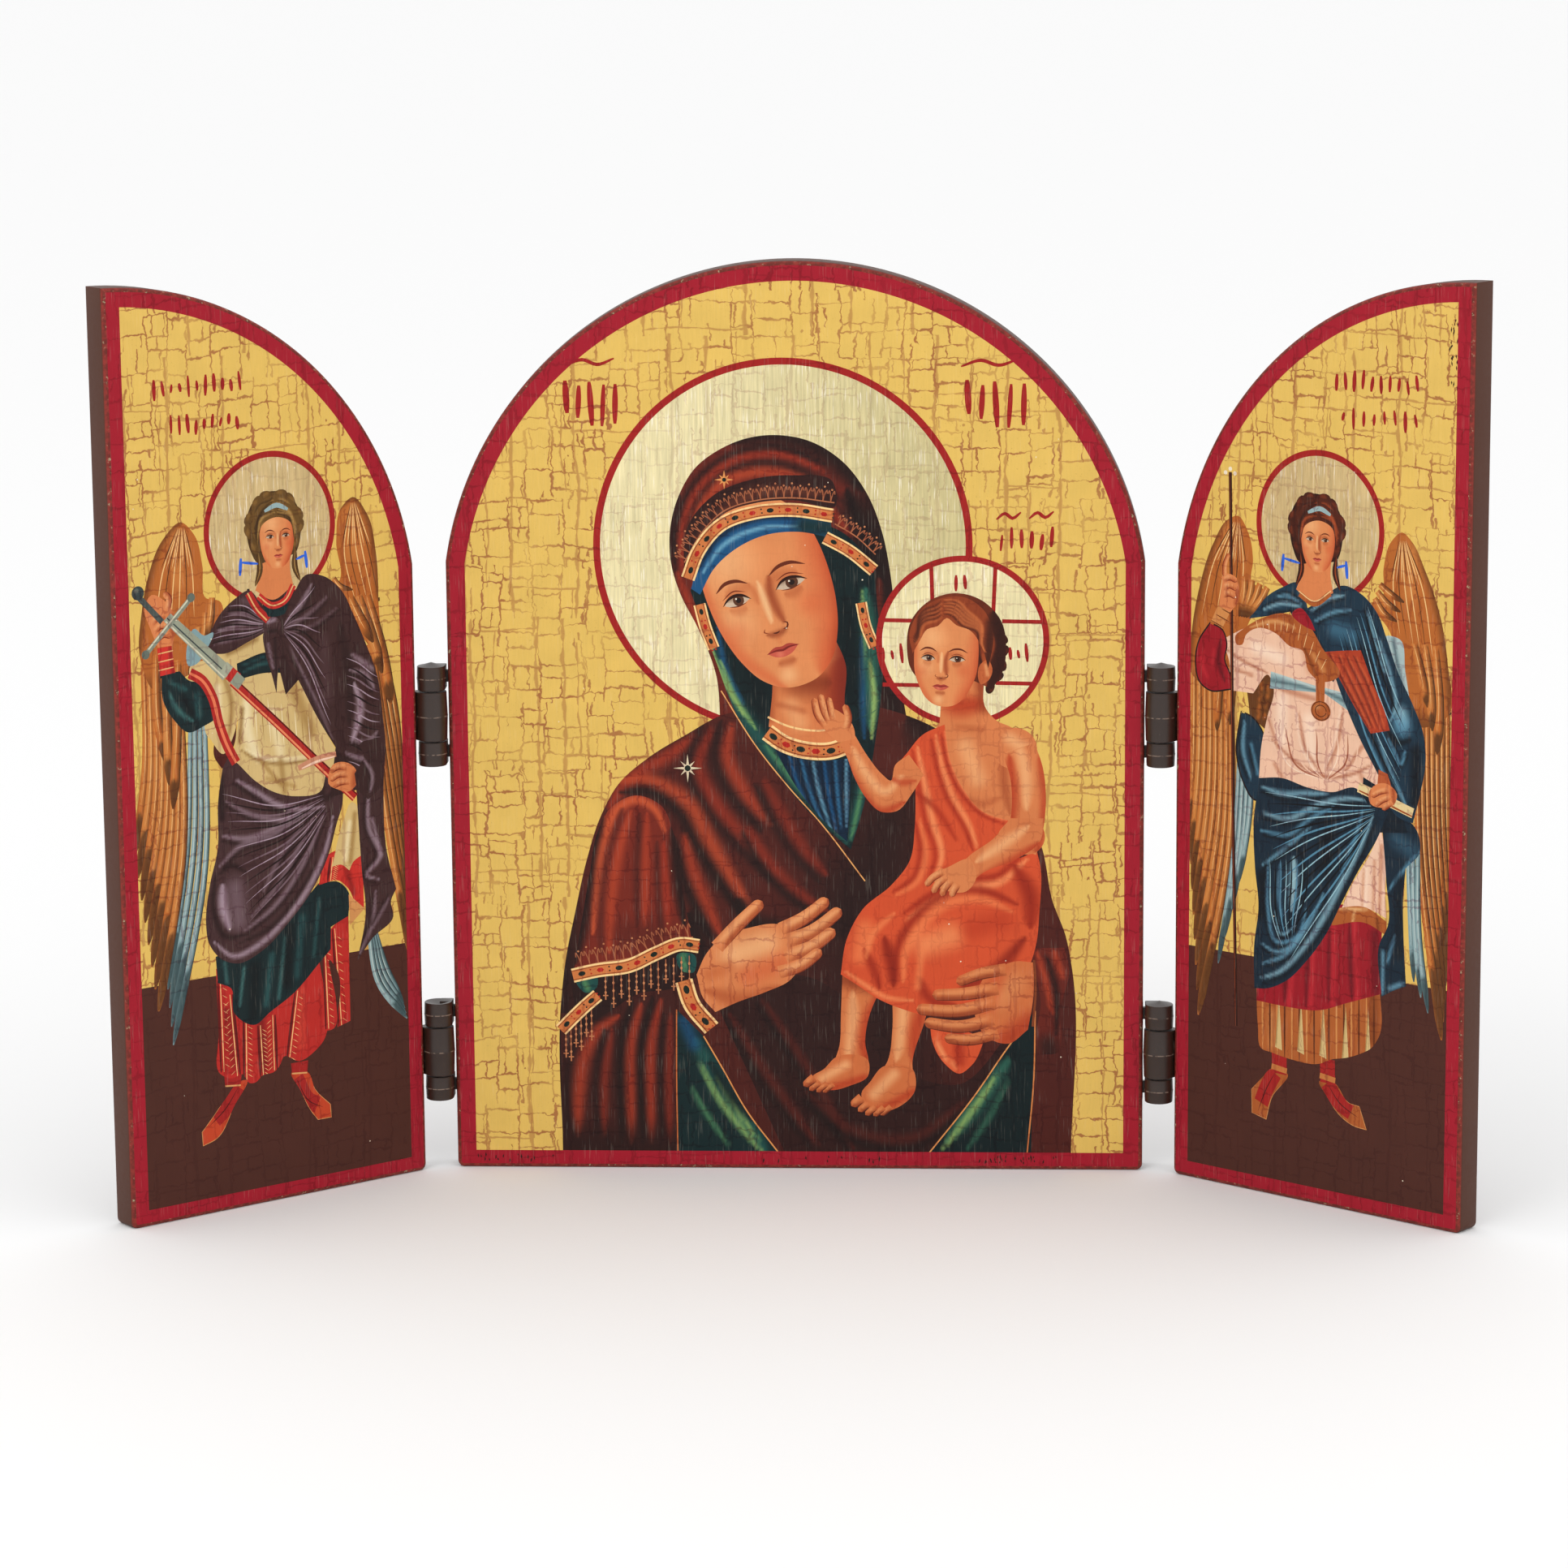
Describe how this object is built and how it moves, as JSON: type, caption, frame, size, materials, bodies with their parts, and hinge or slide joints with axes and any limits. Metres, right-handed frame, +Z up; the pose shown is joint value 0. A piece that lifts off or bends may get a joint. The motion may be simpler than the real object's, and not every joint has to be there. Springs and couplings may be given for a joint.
{
  "type": "triptych altarpiece",
  "caption": "Arched table-top triptych: a painted centre board with two hinged half-width wings that fold forward to stand it up and shut over the picture.",
  "frame": {"origin": "middle of the centre panel's underside, at half its thickness", "axes": "+Z up along the centre panel's height, +X along its width to the viewer's right, -Y out of its painted face"},
  "size_m": [0.3284, 0.0658, 0.228],
  "materials": {
    "painted_board": "satin paint and varnish",
    "hinge_plastic": "satin moulded"
  },
  "bodies": {
    "centre": {"centre_panel": "painted_board", "hinge_lower_left_fork": "hinge_plastic", "hinge_upper_left_fork": "hinge_plastic", "hinge_lower_right_fork": "hinge_plastic", "hinge_upper_right_fork": "hinge_plastic"},
    "left": {"left_wing": "painted_board", "hinge_lower_left_tongue": "hinge_plastic", "hinge_upper_left_tongue": "hinge_plastic"},
    "right": {"right_wing": "painted_board", "hinge_lower_right_tongue": "hinge_plastic", "hinge_upper_right_tongue": "hinge_plastic"}
  },
  "joints": [
    {"name": "left_wing_fold", "type": "hinge", "parent": "centre", "child": "left", "pos_m": [-0.09, -0.0046, 0], "axis": [0, 0, 1], "range_deg": [-85.5, 139.5]},
    {"name": "right_wing_fold", "type": "hinge", "parent": "centre", "child": "right", "pos_m": [0.09, -0.0046, 0], "axis": [0, 0, -1], "range_deg": [-83.2, 141.8]}
  ]
}
